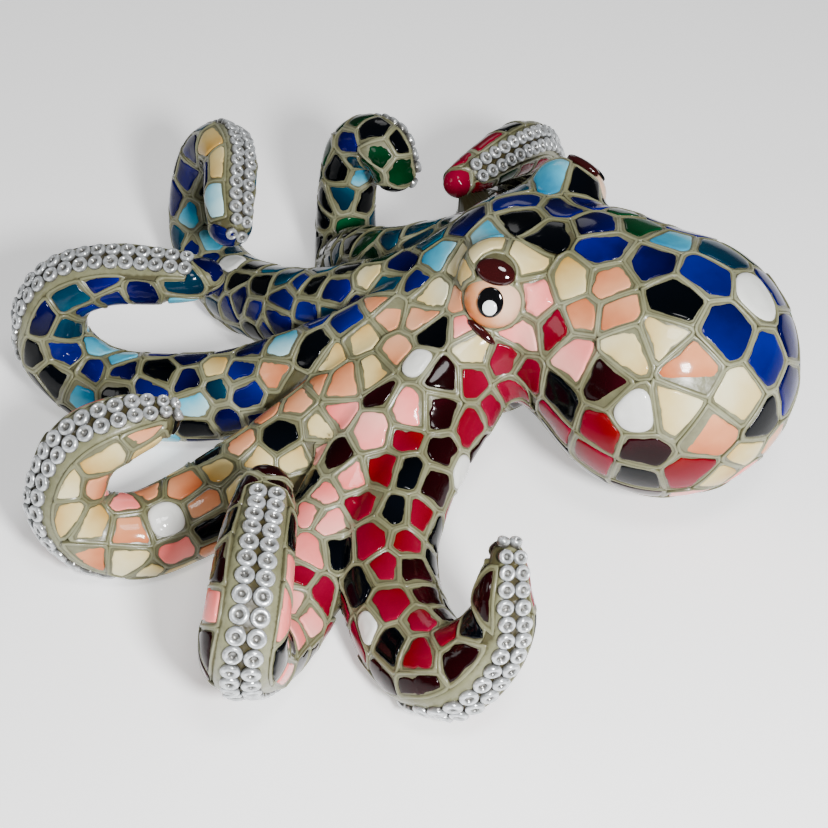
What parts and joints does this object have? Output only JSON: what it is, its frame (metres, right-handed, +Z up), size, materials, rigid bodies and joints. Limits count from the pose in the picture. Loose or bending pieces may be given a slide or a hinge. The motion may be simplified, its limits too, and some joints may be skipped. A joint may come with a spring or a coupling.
{
  "type": "mosaic octopus figurine",
  "caption": "Rigid octopus figurine with a round sac, raised eyes and outstretched curled arms, set with glossy mosaic tiles in pale grout.",
  "frame": {"origin": "on the table, under the middle of the bounding box", "axes": "+Z up; the arms reach towards -X and the round sac hangs over +X; the figure's own left eye is on the -Y side"},
  "size_m": [0.2104, 0.2404, 0.0733],
  "materials": {
    "casting": "cast resin, pale grey-beige like grout, with an olive-brown wash in the joints",
    "sucker_pearl": "silvery pearl paint under clear gloss",
    "eye_glaze": "glossy peach glaze",
    "enamel_black": "glossy poured enamel",
    "enamel_white": "glossy poured enamel",
    "enamel_maroon": "glossy poured enamel",
    "enamel_crimson": "glossy poured enamel",
    "enamel_pink": "glossy poured enamel",
    "enamel_peach": "glossy poured enamel",
    "enamel_cream": "glossy poured enamel",
    "enamel_royal_blue": "glossy poured enamel",
    "enamel_navy": "glossy poured enamel",
    "enamel_light_blue": "glossy poured enamel, white shading to turquoise",
    "enamel_teal": "glossy poured enamel",
    "enamel_green": "glossy poured enamel",
    "pearl": "glossy pearl-white cabochon"
  },
  "bodies": {
    "root": {"head": "casting", "mantle": "casting", "arm_1": "casting", "arm_2": "casting", "arm_3": "casting", "arm_4": "casting", "arm_5": "casting", "arm_6": "casting", "arm_7": "casting", "arm_8": "casting", "suckers_1": "sucker_pearl", "suckers_2": "sucker_pearl", "suckers_3": "sucker_pearl", "suckers_4": "sucker_pearl", "suckers_5": "sucker_pearl", "suckers_6": "sucker_pearl", "suckers_7": "sucker_pearl", "suckers_8": "sucker_pearl", "eye_left": "eye_glaze", "eye_right": "eye_glaze", "pupil_left": "enamel_black", "pupil_right": "enamel_black", "glint_left": "enamel_white", "glint_right": "enamel_white", "brow_tile_left": "enamel_maroon", "brow_tile_right": "enamel_maroon", "tiles_crimson": "enamel_crimson", "tiles_maroon": "enamel_maroon", "tiles_black": "enamel_black", "tiles_pink": "enamel_pink", "tiles_peach": "enamel_peach", "tiles_cream": "enamel_cream", "tiles_royal_blue": "enamel_royal_blue", "tiles_navy": "enamel_navy", "tiles_light_blue": "enamel_light_blue", "tiles_teal": "enamel_teal", "tiles_green": "enamel_green", "pearls": "pearl"}
  },
  "joints": []
}
